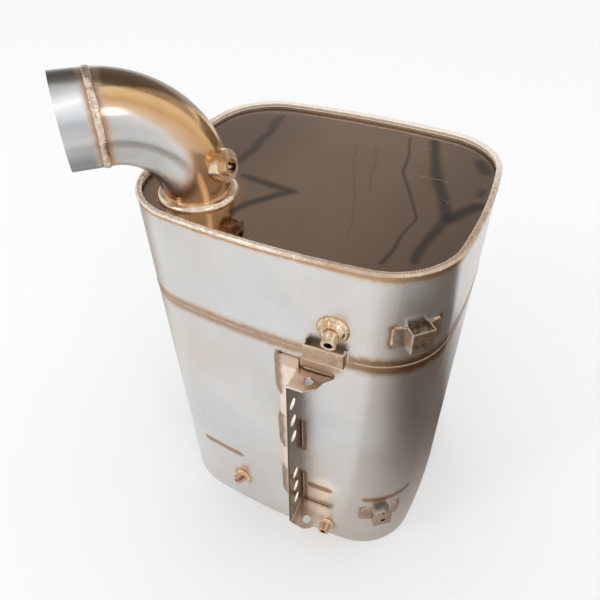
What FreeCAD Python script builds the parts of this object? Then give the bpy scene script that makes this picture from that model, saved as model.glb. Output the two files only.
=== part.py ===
import FreeCAD, Part
import math
import os
import re
import Sketcher

# Box-type catalytic converter, in millimetres, standing on its bottom plate.
# +X is to the right along the long side, -Y is the front with the bracket, +Z is up.
# The origin is the centre of the bottom plate's underside.
# The gas comes in through the elbow, goes down the left canister, turns in the
# lower chamber, goes up the right canister and leaves the upper chamber at the back.

SIZES = (
    # body
    ("body_length", 450),
    ("body_width", 376),
    ("body_height", 624),
    ("corner_radius", 98),
    ("front_bulge", 21),
    ("end_bulge", 21),
    ("shell_wall", 2),
    ("upper_shell_height", 148),
    ("seam_bead_width", 6),
    ("seam_bead_height", 1.2),
    ("slip", 0.2),
    # end plates
    ("plate_wall", 2.5),
    ("plate_recess", 10),
    ("plate_bend", 4),
    ("bottom_flange", 20),
    ("rim_bead_width", 6),
    ("rim_bead_height", 3.5),
    ("rim_bead_overhang", 0.8),
    ("rim_bead_shoulder", 1),
    # inlet elbow, its root on the top plate and its stub
    ("elbow_end_gap", 95),
    ("elbow_side_gap", 82.5),
    ("elbow_heading", 227.2),
    ("elbow_bend", 88),
    ("bend_radius", 103),
    ("root_radius", 44.5),
    ("mouth_radius", 54),
    ("pipe_wall", 2),
    ("root_rise", 14),
    ("stub_length", 39),
    ("collar_width", 9),
    ("collar_height", 7),
    ("pipe_bead_width", 7),
    ("pipe_bead_height", 1.5),
    ("pipe_bead_edge", 0.3),
    # sensor boss on the outside of the bend
    ("elbow_boss_angle", 15),
    ("elbow_boss_turn", -48),
    ("elbow_boss_radius", 20.3),
    ("elbow_boss_rise", 12),
    ("elbow_nipple_radius", 12.5),
    ("elbow_nipple_length", 6),
    ("elbow_bore_radius", 8.25),
    # canisters, each a can with two bricks wrapped in mats
    ("can_end_gap", 17),
    ("can_left_front_gap", 22),
    ("can_right_back_gap", 68),
    ("can_radius", 100),
    ("can_wall", 1.5),
    ("can_bottom_stand", 25),
    ("can_top_stand", 25),
    ("mat_thickness", 6),
    ("brick_gap", 20),
    ("brick_inset", 14),
    ("cover_depth", 14),
    ("inlet_tube_dip", 12),
    # baffles
    ("lower_baffle_height", 149),
    ("baffle_wall", 2),
    ("baffle_flange", 16),
    # outlet on the back of the upper chamber
    ("outlet_x", 60),
    ("outlet_radius", 54),
    ("outlet_reach", 40),
    ("outlet_inside", 12),
    ("outlet_bead_width", 6),
    ("outlet_bead_height", 4),
    # sensor boss on the front of the upper chamber
    ("chamber_boss_x", 98.5),
    ("chamber_boss_lift", 48.5),
    ("chamber_boss_radius", 19),
    ("chamber_boss_top_radius", 13.5),
    ("chamber_boss_rise", 7),
    ("chamber_nipple_radius", 9.5),
    ("chamber_nipple_length", 23),
    ("chamber_nipple_swing", 4),
    ("chamber_nipple_dip", 10),
    ("chamber_bore_radius", 5.4),
    # two small sensor bosses on the lower chamber
    ("left_boss_x", -66),
    ("left_boss_z", 79),
    ("left_boss_swing", -22),
    ("right_boss_x", 97.5),
    ("right_boss_z", 36),
    ("right_boss_swing", 0),
    ("small_boss_base_radius", 12),
    ("small_boss_base_rise", 4),
    ("small_boss_radius", 9),
    ("small_boss_length", 17),
    ("small_bore_radius", 4.5),
    # folded mounting bracket
    ("bracket_x", 54),
    ("bracket_wall", 3),
    ("bracket_bottom", 97),
    ("bracket_drop", 36),
    ("fold_radius", 2.4),
    ("foot_width", 30),
    ("foot_tab", 16),
    ("web_top_depth", 36.5),
    ("web_bottom_depth", 50),
    ("web_hole_radius", 8.6),
    ("web_hole_depth", 25.5),
    ("web_hole_pitch", 37.5),
    ("web_top_hole_gap", 49),
    ("web_bottom_hole_gap", 44),
    ("bolt_hole_radius", 6.75),
    ("upper_bolt_x", 20),
    ("upper_bolt_depth", 18.5),
    ("lower_bolt_x", 22),
    ("lower_bolt_depth", 36),
    ("upper_shelf_length", 49),
    ("lower_shelf_length", 56),
    # strap across the girth seam
    ("strap_x", 90),
    ("strap_lift", 8),
    ("strap_length", 55),
    ("strap_height", 25),
    ("strap_reach", 10),
    ("strap_wall", 2.5),
    # hat clips on the front right corner
    ("clip_upper_angle", -45),
    ("clip_upper_lift", 53),
    ("clip_lower_angle", -51),
    ("clip_lower_z", 106),
    ("clip_height", 30),
    ("clip_half_width", 15.5),
    ("clip_reach", 15),
    ("clip_wall", 2.5),
    ("clip_foot", 14),
    ("clip_hole_radius", 4.5),
    ("weld_nut_across_flats", 13),
    ("weld_nut_thickness", 6.5),
    ("weld_nut_bore_radius", 3.4),
)

doc = FreeCAD.newDocument("CatalyticConverter")
sheet = doc.addObject("Spreadsheet::Sheet", "Sizes")
for row, (alias, value) in enumerate(SIZES, start=1):
    sheet.set(f"A{row}", alias)
    sheet.set(f"B{row}", str(value))
    sheet.setAlias(f"B{row}", alias)
doc.recompute()

ALIASES = re.compile(r"\b(" + "|".join(alias for alias, _ in SIZES) + r")\b")
POINTS = ("edge", "start", "end", "centre")
START, END, CENTRE = (POINTS.index(name) for name in POINTS[1:])
X_AXIS, Y_AXIS = (-1 - "xy".index(name) for name in "xy")


def linked(formula):
    """The formula with every size name pointing at the sheet."""
    return ALIASES.sub(r"Sizes.\1", str(formula))


def number(formula):
    """What the formula is worth now."""
    return float(sheet.evalExpression(linked(formula)))


def bind(thing, **formulas):
    for name, formula in formulas.items():
        thing.setExpression(name, linked(formula))
    return thing


def place(thing, x="0", y="0", z="0", turn="rotationz(0)"):
    """Puts a thing at a point, turned by an expression of rotations."""
    thing.setExpression("Placement", linked(f"placement(vector({x}; {y}; {z}); {turn})"))
    return thing


# The outline of the body: a long and a short pair of shallow arcs, joined by
# corner arcs that run tangent into both.
FRONT_ARC = "(body_length^2 / 4 + front_bulge^2) / (2 * front_bulge)"
END_ARC = "(body_width^2 / 4 + end_bulge^2) / (2 * end_bulge)"
FRONT_CENTRE = f"({FRONT_ARC} - body_width / 2)"
END_CENTRE = f"({END_ARC} - body_length / 2)"


def corner_centre():
    """The centre of the front right corner arc, inside both big arcs."""
    front_reach = number(f"{FRONT_ARC} - corner_radius")
    end_reach = number(f"{END_ARC} - corner_radius")
    front_y, end_x = number(FRONT_CENTRE), -number(END_CENTRE)
    span = math.hypot(front_y, end_x)
    along = (front_reach**2 - end_reach**2 + span**2) / (2 * span)
    across = math.sqrt(front_reach**2 - along**2)
    unit_x, unit_y = end_x / span, -front_y / span
    return along * unit_x - across * unit_y, front_y + along * unit_y + across * unit_x


def front_y(x):
    """How far forward the body's front is at x, as a formula."""
    return f"({FRONT_CENTRE} - sqrt(({FRONT_ARC})^2 - ({x})^2))"


def front_turn(x):
    """The turn about Z that faces the front surface at x, as a formula."""
    return f"rotationz(asin(({x}) / ({FRONT_ARC})))"


def origin_plane(body, role):
    return next(feature for feature in body.Origin.OriginFeatures if feature.Role == role)


def new_body(label):
    body = doc.addObject("PartDesign::Body", label)
    body.Label = label
    return body


def new_sketch(body, name, role="XY_Plane", height=None):
    sketch = body.newObject("Sketcher::SketchObject", name)
    sketch.AttachmentSupport = [(origin_plane(body, role), "")]
    sketch.MapMode = "FlatFace"
    if height is not None:
        sketch.setExpression("AttachmentOffset.Base.z", linked(height))
    return sketch


def hold(sketch, kind, *references):
    """Adds a sketch constraint; a formula after its references drives its value."""
    *where, last = references
    if isinstance(last, str):
        index = sketch.addConstraint(Sketcher.Constraint(kind, *where, number(last)))
        sketch.setExpression(f"Constraints[{index}]", linked(last))
        return
    sketch.addConstraint(Sketcher.Constraint(kind, *references))


def draw_outline(sketch, inset):
    """The body outline moved inwards by inset: eight arcs, each tangent to the next."""
    corner_x, corner_y = corner_centre()
    front, end = number(f"{FRONT_ARC} - ({inset})"), number(f"{END_ARC} - ({inset})")
    corner = number(f"corner_radius - ({inset})")
    front_at, end_at = number(FRONT_CENTRE), number(END_CENTRE)
    lean_front = math.atan2(corner_x, front_at - corner_y)
    lean_end = math.atan2(-corner_y, corner_x + end_at)
    half = math.pi / 2
    first = sketch.GeometryCount
    for side in range(4):
        turned = side * half
        is_front = side % 2 == 0
        radius = front if is_front else end
        lean = lean_front if is_front else lean_end
        reach = front_at if is_front else end_at
        middle = turned - half
        centre = FreeCAD.Vector(-reach * math.cos(middle), -reach * math.sin(middle), 0)
        circle = Part.Circle(centre, FreeCAD.Vector(0, 0, 1), radius)
        sketch.addGeometry(Part.ArcOfCircle(circle, middle - lean, middle + lean))
        next_lean = lean_end if is_front else lean_front
        sign_x, sign_y = ((1, 1), (1, -1), (-1, -1), (-1, 1))[side]
        centre = FreeCAD.Vector(sign_x * corner_x, sign_y * corner_y, 0)
        circle = Part.Circle(centre, FreeCAD.Vector(0, 0, 1), corner)
        sketch.addGeometry(Part.ArcOfCircle(circle, middle + lean, turned - next_lean))
    for step in range(8):
        hold(sketch, "Tangent", first + step, END, first + (step + 1) % 8, START)
    for side, reach in enumerate((FRONT_CENTRE, f"-{END_CENTRE}", f"-{FRONT_CENTRE}", END_CENTRE)):
        arc = first + 2 * side
        is_front = side % 2 == 0
        hold(sketch, "PointOnObject", arc, CENTRE, Y_AXIS if is_front else X_AXIS)
        hold(sketch, "DistanceY" if is_front else "DistanceX", arc, CENTRE, reach)
        hold(sketch, "Radius", arc, f"{FRONT_ARC if is_front else END_ARC} - ({inset})")
        hold(sketch, "Radius", arc + 1, f"corner_radius - ({inset})")


def draw_circle(sketch, x, y, radius):
    centre = FreeCAD.Vector(number(x), number(y), 0)
    circle = sketch.addGeometry(Part.Circle(centre, FreeCAD.Vector(0, 0, 1), number(radius)))
    hold(sketch, "DistanceX", circle, CENTRE, str(x))
    hold(sketch, "DistanceY", circle, CENTRE, str(y))
    hold(sketch, "Radius", circle, str(radius))


def draw_profile(sketch, corners):
    """A closed profile through corners (x, y) or (x, y, radius).

    A radius makes the side after its corner an arc: above zero it bulges to the
    right of the way round, below zero to the left.
    """
    points = [FreeCAD.Vector(number(corner[0]), number(corner[1]), 0) for corner in corners]
    first = sketch.GeometryCount
    count = len(corners)
    for index, corner in enumerate(corners):
        here, there = points[index], points[(index + 1) % count]
        if len(corner) == 2:
            sketch.addGeometry(Part.LineSegment(here, there))
            continue
        radius = number(corner[2])
        chord = there - here
        middle = (here + there) / 2
        left = FreeCAD.Vector(-chord.y, chord.x, 0).normalize()
        rise = math.sqrt(radius**2 - chord.Length**2 / 4)
        side = 1 if radius > 0 else -1
        top = middle - left * side * (abs(radius) - rise)
        sketch.addGeometry(Part.Arc(here, top, there))
    for index, corner in enumerate(corners):
        side, follower = first + index, first + (index + 1) % count
        ends = [START, END] if len(corner) == 2 or number(corner[2]) > 0 else [END, START]
        after = corners[(index + 1) % count]
        begins = START if len(after) == 2 or number(after[2]) > 0 else END
        hold(sketch, "Coincident", side, ends[1], follower, begins)
        hold(sketch, "DistanceX", side, ends[0], str(corner[0]))
        hold(sketch, "DistanceY", side, ends[0], str(corner[1]))
        if len(corner) == 3:
            hold(sketch, "Radius", side, f"abs({corner[2]})")


def pad(body, sketch, length, reverse=False):
    feature = body.newObject("PartDesign::Pad", "Pad")
    feature.Profile = sketch
    feature.Reversed = reverse
    sketch.Visibility = False
    return bind(feature, Length=length)


def pocket(body, sketch, length, reverse=False):
    feature = body.newObject("PartDesign::Pocket", "Pocket")
    feature.Profile = sketch
    feature.Reversed = reverse
    sketch.Visibility = False
    return bind(feature, Length=length)


def is_near(value, other):
    """Whether two lengths are the same as far as the sheet metal goes."""
    return abs(value - other) < number("slip / 10")


def is_level(edge, height):
    """Whether an edge lies in the level plane at a height of its own body."""
    box = edge.BoundBox
    return is_near(box.ZMin, height) and is_near(box.ZMax, height)


def far_out(edge, reach):
    """Whether an edge is part of the body outline rather than of a hole."""
    curve = edge.Curve
    return isinstance(curve, Part.Circle) and edge.Length < 6 * curve.Radius and curve.Radius > reach


def is_along(edge, axis, **spot):
    """Whether an edge runs along an axis of its body through the spot given."""
    box = edge.BoundBox
    low = {"x": box.XMin, "y": box.YMin, "z": box.ZMin}
    high = {"x": box.XMax, "y": box.YMax, "z": box.ZMax}
    if is_near(high[axis], low[axis]):
        return False
    return all(is_near(low[name], value) and is_near(high[name], value)
               for name, value in spot.items())


def round_edges(body, radius, chosen):
    """Rounds the edges of a body so far that the test picks."""
    doc.recompute()
    before = body.Tip
    names = [f"Edge{index}" for index, edge in enumerate(before.Shape.Edges, start=1) if chosen(edge)]
    if not names:
        raise RuntimeError(f"no edge to round in {body.Label}")
    feature = body.newObject("PartDesign::Fillet", "Rounding")
    feature.Base = (before, names)
    return bind(feature, Radius=radius)


def ring(label, bottom, height, outer_inset, inner_inset):
    """A band that follows the body outline between two insets."""
    body = new_body(label)
    sketch = new_sketch(body, "Band")
    draw_outline(sketch, outer_inset)
    draw_outline(sketch, inner_inset)
    pad(body, sketch, height)
    return place(body, z=bottom)


def pan(label, bottom, depth, wall, holes=()):
    """A pressed plate with a flange that stands up inside the shell."""
    body = new_body(label)
    sketch = new_sketch(body, "Blank")
    draw_outline(sketch, "shell_wall + slip")
    for x, y, radius in holes:
        draw_circle(sketch, x, y, radius)
    pad(body, sketch, depth)
    hollow = new_sketch(body, "Hollow", height=depth)
    draw_outline(hollow, f"shell_wall + slip + {wall}")
    pocket(body, hollow, f"({depth}) - {wall}")
    doc.recompute()
    rim_reach = number(f"body_width / 2 - corner_radius")
    round_edges(body, f"plate_bend - {wall}", lambda edge: is_level(edge, number(wall)) and far_out(edge, rim_reach))
    round_edges(body, "plate_bend", lambda edge: is_level(edge, 0) and far_out(edge, rim_reach))
    return place(body, z=bottom)


def tube(label, x, y, bottom, length, outer, inner):
    body = new_body(label)
    sketch = new_sketch(body, "Section")
    draw_circle(sketch, "0", "0", outer)
    if inner is not None:
        draw_circle(sketch, "0", "0", inner)
    pad(body, sketch, length)
    return place(body, x, y, bottom)


def finish(solid, label):
    solid.Label = label
    return solid


def cylinder(radius, length, **where):
    return place(bind(doc.addObject("Part::Cylinder", "Cylinder"), Radius=radius, Height=length), **where)


def cone(low, high, length, **where):
    shape = doc.addObject("Part::Cone", "Cone")
    return place(bind(shape, Radius1=low, Radius2=high, Height=length), **where)


def cut(base, tool):
    feature = doc.addObject("Part::Cut", "Cut")
    feature.Base = base
    feature.Tool = tool
    return feature


def fuse(*shapes):
    feature = doc.addObject("Part::MultiFuse", "Fuse")
    feature.Shapes = list(shapes)
    feature.Refine = True
    return feature


nodes = {}


def keep(label, solid):
    """Names a finished sub-part."""
    nodes[label] = finish(solid, label)
    return solid


# Heights and places that several pieces share
SEAM = "(body_height - upper_shell_height)"
BRACKET_TOP = f"({SEAM} - bracket_drop)"
OUTLET_Z = f"({SEAM} + upper_shell_height / 2)"
CHAMBER_BOSS_Z = f"({SEAM} + chamber_boss_lift)"
CLIP_HEIGHTS = {"upper": f"({SEAM} + clip_upper_lift)", "lower": "clip_lower_z"}
ELBOW_X = "(elbow_end_gap - body_length / 2)"
ELBOW_Y = "(elbow_side_gap - body_width / 2)"
CAN_LEFT_X = "(can_radius + can_end_gap - body_length / 2)"
CAN_LEFT_Y = "(can_radius + can_left_front_gap - body_width / 2)"
CAN_RIGHT_Y = "(body_width / 2 - can_radius - can_right_back_gap)"
SHELL_TOP = "(body_height - rim_bead_height)"
PLATE_TOP = "(body_height - plate_recess)"
PLATE_BOTTOM = "(body_height - plate_recess - plate_wall)"


# ---- shells and end plates ------------------------------------------------

def make_shells():
    lower = ring("main_shell", "0", SEAM, "0", "shell_wall")
    for x, z in (("left_boss_x", "left_boss_z"), ("right_boss_x", "right_boss_z")):
        hole = front_hole(lower, x, z, "small_bore_radius + shell_wall")
        pocket(lower, hole, "body_width / 2", reverse=True)
    keep("main_shell", lower)
    upper = ring("upper_shell", SEAM, f"{SHELL_TOP} - {SEAM}", "0", "shell_wall")
    hole = front_hole(upper, "chamber_boss_x", "chamber_boss_lift", "chamber_bore_radius + shell_wall")
    pocket(upper, hole, "body_width / 2", reverse=True)
    outlet = front_hole(upper, "outlet_x", f"{OUTLET_Z} - {SEAM}", "outlet_radius + slip")
    pocket(upper, outlet, "body_width / 2")
    keep("upper_shell", upper)


def front_hole(body, x, z, radius):
    """A circle on the upright middle plane, for a hole to the front or the back."""
    sketch = new_sketch(body, "Hole", "XZ_Plane")
    draw_circle(sketch, x, z, radius)
    return sketch


def make_plates():
    keep("bottom_plate", pan("bottom_plate", "0", "bottom_flange", "plate_wall"))
    top_hole = (ELBOW_X, ELBOW_Y, "root_radius + slip")
    top_depth = f"{SHELL_TOP} - {PLATE_BOTTOM}"
    top = pan("top_plate", PLATE_BOTTOM, top_depth, "plate_wall", holes=(top_hole,))
    keep("top_plate", top)
    rim = ring("top_rim_weld", SHELL_TOP, "rim_bead_height",
               "-rim_bead_overhang", "rim_bead_width - rim_bead_overhang")
    round_edges(rim, "rim_bead_height - rim_bead_shoulder", lambda edge: is_level(edge, number("rim_bead_height")))
    keep("top_rim_weld", rim)
    seam = ring("girth_seam_weld", f"{SEAM} - seam_bead_width / 2", "seam_bead_width",
                "-seam_bead_height", "-slip / 2")
    keep("girth_seam_weld", seam)


CANS = (("left", CAN_LEFT_X, CAN_LEFT_Y), ("right", f"(-{CAN_LEFT_X})", CAN_RIGHT_Y))


def make_baffles():
    holes = [(x, y, "can_radius + slip") for _, x, y in CANS]
    keep("lower_baffle", pan("lower_baffle", "lower_baffle_height", "baffle_flange", "baffle_wall", holes))
    upper_z = f"{SEAM} - baffle_wall / 2"
    keep("upper_baffle", pan("upper_baffle", upper_z, "baffle_flange", "baffle_wall", holes))


# ---- canisters ------------------------------------------------------------

CAN_BOTTOM = "(lower_baffle_height - can_bottom_stand)"
CAN_LENGTH = f"({SEAM} + can_top_stand - {CAN_BOTTOM})"
BRICK_LENGTH = f"(({CAN_LENGTH} - 2 * brick_inset - brick_gap) / 2)"


def make_canisters():
    for side, x, y in CANS:
        keep(f"canister_{side}", tube(f"canister_{side}", x, y, CAN_BOTTOM, CAN_LENGTH,
                                      "can_radius", "can_radius - can_wall"))
        for level, place_name in enumerate(("lower", "upper")):
            bottom = f"{CAN_BOTTOM} + brick_inset + {level} * ({BRICK_LENGTH} + brick_gap)"
            mat = f"mat_{side}_{place_name}"
            brick = f"catalyst_brick_{side}_{place_name}"
            mat_outer = "can_radius - can_wall - slip / 2"
            mat_inner = "can_radius - can_wall - mat_thickness"
            keep(mat, tube(mat, x, y, bottom, BRICK_LENGTH, mat_outer, mat_inner))
            keep(brick, tube(brick, x, y, bottom, BRICK_LENGTH, f"{mat_inner} - slip / 2", None))
    make_inlet()


def make_inlet():
    """The cover that closes the left canister and the tube from the elbow into it."""
    cover = new_body("inlet_cover")
    sketch = new_sketch(cover, "Blank")
    draw_circle(sketch, "0", "0", "can_radius + can_wall + slip")
    draw_circle(sketch, f"{ELBOW_X} - {CAN_LEFT_X}", f"{ELBOW_Y} - {CAN_LEFT_Y}", "root_radius + slip")
    pad(cover, sketch, "cover_depth")
    hollow = new_sketch(cover, "Hollow")
    draw_circle(hollow, "0", "0", "can_radius + slip")
    pocket(cover, hollow, "cover_depth - can_wall", reverse=True)
    cover_bottom = f"{SEAM} + can_top_stand + can_wall - cover_depth + slip"
    keep("inlet_cover", place(cover, CAN_LEFT_X, CAN_LEFT_Y, cover_bottom))
    tube_bottom = f"{SEAM} + can_top_stand - inlet_tube_dip"
    tube_length = f"{PLATE_BOTTOM} - ({tube_bottom}) - slip"
    keep("inlet_tube", tube("inlet_tube", ELBOW_X, ELBOW_Y, tube_bottom, tube_length,
                            "root_radius", "root_radius - pipe_wall"))


# ---- inlet elbow ----------------------------------------------------------

HEADING = "rotationz(elbow_heading)"
ROOT_BOTTOM = PLATE_BOTTOM
RISE = "(plate_wall + root_rise)"


def on_bend(angle, along="0", across="0"):
    """A place on the bend's centre line, as formulas for x, y and z.

    It is angle degrees round the bend, then along the pipe, then across it
    towards the outside of the bend.
    """
    reach = (f"(bend_radius - (bend_radius + {across}) * cos({angle})"
             f" + ({along}) * sin({angle}))")
    rise = f"({RISE} + (bend_radius + {across}) * sin({angle}) + ({along}) * cos({angle}))"
    return {"x": f"{ELBOW_X} + {reach} * cos(elbow_heading)",
            "y": f"{ELBOW_Y} + {reach} * sin(elbow_heading)",
            "z": f"{ROOT_BOTTOM} + {rise}"}


def bend_line():
    """The centre line of the elbow: a short rise, then the bend."""
    line = doc.addObject("Sketcher::SketchObject", "BendLine")
    rise, radius = number(RISE), number("bend_radius")
    bend = math.radians(number("elbow_bend"))
    line.addGeometry(Part.LineSegment(FreeCAD.Vector(0, 0, 0), FreeCAD.Vector(0, rise, 0)))
    circle = Part.Circle(FreeCAD.Vector(radius, rise, 0), FreeCAD.Vector(0, 0, 1), radius)
    line.addGeometry(Part.ArcOfCircle(circle, math.pi - bend, math.pi))
    hold(line, "Coincident", 0, START, X_AXIS, START)
    hold(line, "DistanceX", 0, END, "0")
    hold(line, "DistanceY", 0, END, RISE)
    hold(line, "Coincident", 0, END, 1, END)
    hold(line, "Radius", 1, "bend_radius")
    hold(line, "DistanceY", 1, CENTRE, RISE)
    hold(line, "DistanceY", 1, START, f"{RISE} + bend_radius * sin(elbow_bend)")
    turn = f"{HEADING} * rotationx(90)"
    return place(line, ELBOW_X, ELBOW_Y, ROOT_BOTTOM, turn)


def pipe_circle(radius, angle, **where):
    turn = f"{HEADING} * rotationy({angle})"
    return place(bind(doc.addObject("Part::Circle", "PipeCircle"), Radius=radius), turn=turn, **where)


def bent_pipe(line, inset):
    """The elbow's outer or inner surface as a solid, wider at its mouth."""
    root = pipe_circle(f"root_radius - {inset}", "0", x=ELBOW_X, y=ELBOW_Y, z=ROOT_BOTTOM)
    mouth = pipe_circle(f"mouth_radius - {inset}", "elbow_bend", **on_bend("elbow_bend"))
    sweep = doc.addObject("Part::Sweep", "BentPipe")
    sweep.Sections = [root, mouth]
    sweep.Spine = (line, ["Edge1", "Edge2"])
    sweep.Solid = True
    return sweep


def pipe_side(height):
    """The radius that just clears the elbow at a height above the top plate."""
    growth = f"(mouth_radius - root_radius) / ({RISE} + bend_radius * elbow_bend * pi / 180)"
    return f"(root_radius + slip + (plate_wall + {height}) * {growth})"


def make_elbow():
    line = bend_line()
    outside, inside = bent_pipe(line, "0"), bent_pipe(line, "pipe_wall")
    boss_turn = f"{HEADING} * rotationy(elbow_boss_angle - 90) * rotationx(elbow_boss_turn)"
    boss_place = dict(on_bend("elbow_boss_angle"), turn=boss_turn)
    seat = "(root_radius + (mouth_radius - root_radius) * elbow_boss_angle / elbow_bend)"
    bore = cylinder("elbow_bore_radius", f"{seat} + elbow_boss_rise + elbow_nipple_length + slip", **boss_place)
    keep("inlet_elbow", cut(cut(outside, inside), bore))

    collar = cylinder("elbow_boss_radius", f"{seat} + elbow_boss_rise", **boss_place)
    nipple = cylinder("elbow_nipple_radius", f"{seat} + elbow_boss_rise + elbow_nipple_length", **boss_place)
    keep("elbow_sensor_boss", cut(cut(fuse(collar, nipple), outside), bore))

    weld = new_body("elbow_root_weld")
    sketch = new_sketch(weld, "Bead", "XZ_Plane")
    draw_profile(sketch, (
        (pipe_side("slip / 2"), "slip / 2"),
        (f"{pipe_side('slip / 2')} + collar_width", "slip / 2", "collar_width"),
        (pipe_side("slip / 2 + collar_height"), "slip / 2 + collar_height"),
    ))
    revolve(weld, sketch)
    keep("elbow_root_weld", place(weld, ELBOW_X, ELBOW_Y, PLATE_TOP))

    stub_turn = f"{HEADING} * rotationy(elbow_bend)"
    stub = new_body("inlet_stub")
    sketch = new_sketch(stub, "Section")
    draw_circle(sketch, "0", "0", "mouth_radius")
    draw_circle(sketch, "0", "0", "mouth_radius - pipe_wall")
    pad(stub, sketch, "stub_length")
    keep("inlet_stub", place(stub, turn=stub_turn, **on_bend("elbow_bend")))

    bead = new_body("elbow_stub_weld")
    rim = "mouth_radius + slip + pipe_bead_edge"
    crown_rise = "(pipe_bead_height - pipe_bead_edge - slip)"
    crown = f"(pipe_bead_width^2 / 4 + {crown_rise}^2) / (2 * {crown_rise})"
    sketch = new_sketch(bead, "Bead", "XZ_Plane")
    draw_profile(sketch, (
        ("mouth_radius + slip", "-pipe_bead_width / 2"),
        (rim, "-pipe_bead_width / 2", crown),
        (rim, "pipe_bead_width / 2"),
        ("mouth_radius + slip", "pipe_bead_width / 2"),
    ))
    revolve(bead, sketch)
    keep("elbow_stub_weld", place(bead, turn=stub_turn, **on_bend("elbow_bend")))


def revolve(body, sketch):
    feature = body.newObject("PartDesign::Revolution", "Revolution")
    feature.Profile = sketch
    feature.ReferenceAxis = (origin_plane(body, "Z_Axis"), [""])
    feature.Angle = 360
    sketch.Visibility = False
    return feature


# ---- outlet ---------------------------------------------------------------

def make_outlet():
    wall_y = f"(-{front_y('outlet_x')})"
    start = f"{wall_y} - shell_wall - outlet_inside"
    length = "outlet_inside + shell_wall + outlet_reach"
    stub = new_body("outlet_stub")
    sketch = new_sketch(stub, "Section")
    draw_circle(sketch, "0", "0", "outlet_radius")
    draw_circle(sketch, "0", "0", "outlet_radius - pipe_wall")
    pad(stub, sketch, length)
    keep("outlet_stub", place(stub, "outlet_x", start, OUTLET_Z, "rotationx(-90)"))

    outer = cone("outlet_radius + outlet_bead_width", "outlet_radius + slip", "outlet_bead_height * 2",
                 x="outlet_x", y=f"{wall_y} - outlet_bead_height", z=OUTLET_Z, turn="rotationx(-90)")
    hole = cylinder("outlet_radius + slip", "outlet_bead_height * 3",
                    x="outlet_x", y=f"{wall_y} - outlet_bead_height", z=OUTLET_Z, turn="rotationx(-90)")
    keep("outlet_weld", cut(cut(outer, hole), body_block(f"{OUTLET_Z} - outlet_radius * 1.5", "outlet_radius * 3")))


def body_block(bottom, height):
    """The whole space inside the outer surface of the body, between two heights."""
    block = new_body("BodyBlock")
    sketch = new_sketch(block, "Outline")
    draw_outline(sketch, "-slip / 2")
    pad(block, sketch, height)
    return place(block, z=bottom)


# ---- sensor bosses on the front -------------------------------------------

def on_front(x, out="slip"):
    """A place on the front surface at x, moved out along its normal."""
    lean = f"asin(({x}) / ({FRONT_ARC}))"
    return {"x": f"({x}) + ({out}) * sin({lean})",
            "y": f"{front_y(x)} - ({out}) * cos({lean})"}


def make_bosses():
    base_turn = front_turn("chamber_boss_x")
    seat = dict(on_front("chamber_boss_x"), z=CHAMBER_BOSS_Z)
    tip = f"{base_turn} * rotationz(chamber_nipple_swing) * rotationx(90 + chamber_nipple_dip)"
    collar = cone("chamber_boss_radius", "chamber_boss_top_radius", "chamber_boss_rise",
                  turn=f"{base_turn} * rotationx(90)", **seat)
    nipple = cylinder("chamber_nipple_radius", "chamber_nipple_length", turn=tip, **seat)
    inside = body_block(f"{CHAMBER_BOSS_Z} - chamber_boss_radius * 2", "chamber_boss_radius * 4")
    trimmed = cut(fuse(collar, nipple), inside)
    bore = cylinder("chamber_bore_radius", "chamber_nipple_length * 1.1", turn=tip, **seat)
    keep("chamber_sensor_boss", cut(trimmed, bore))

    for side in ("left", "right"):
        x, z = f"{side}_boss_x", f"{side}_boss_z"
        seat = dict(on_front(x), z=z)
        turn = f"{front_turn(x)} * rotationz({side}_boss_swing) * rotationx(90)"
        collar = cone("small_boss_base_radius", "small_boss_radius", "small_boss_base_rise",
                      turn=f"{front_turn(x)} * rotationx(90)", **seat)
        nipple = cylinder("small_boss_radius", "small_boss_length", turn=turn, **seat)
        inside = body_block(f"{z} - small_boss_base_radius * 1.5", "small_boss_base_radius * 3")
        bore = cylinder("small_bore_radius", "small_boss_length * 1.1", turn=turn, **seat)
        keep(f"lower_sensor_boss_{side}", cut(cut(fuse(collar, nipple), inside), bore))


# ---- mounting bracket -----------------------------------------------------

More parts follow.
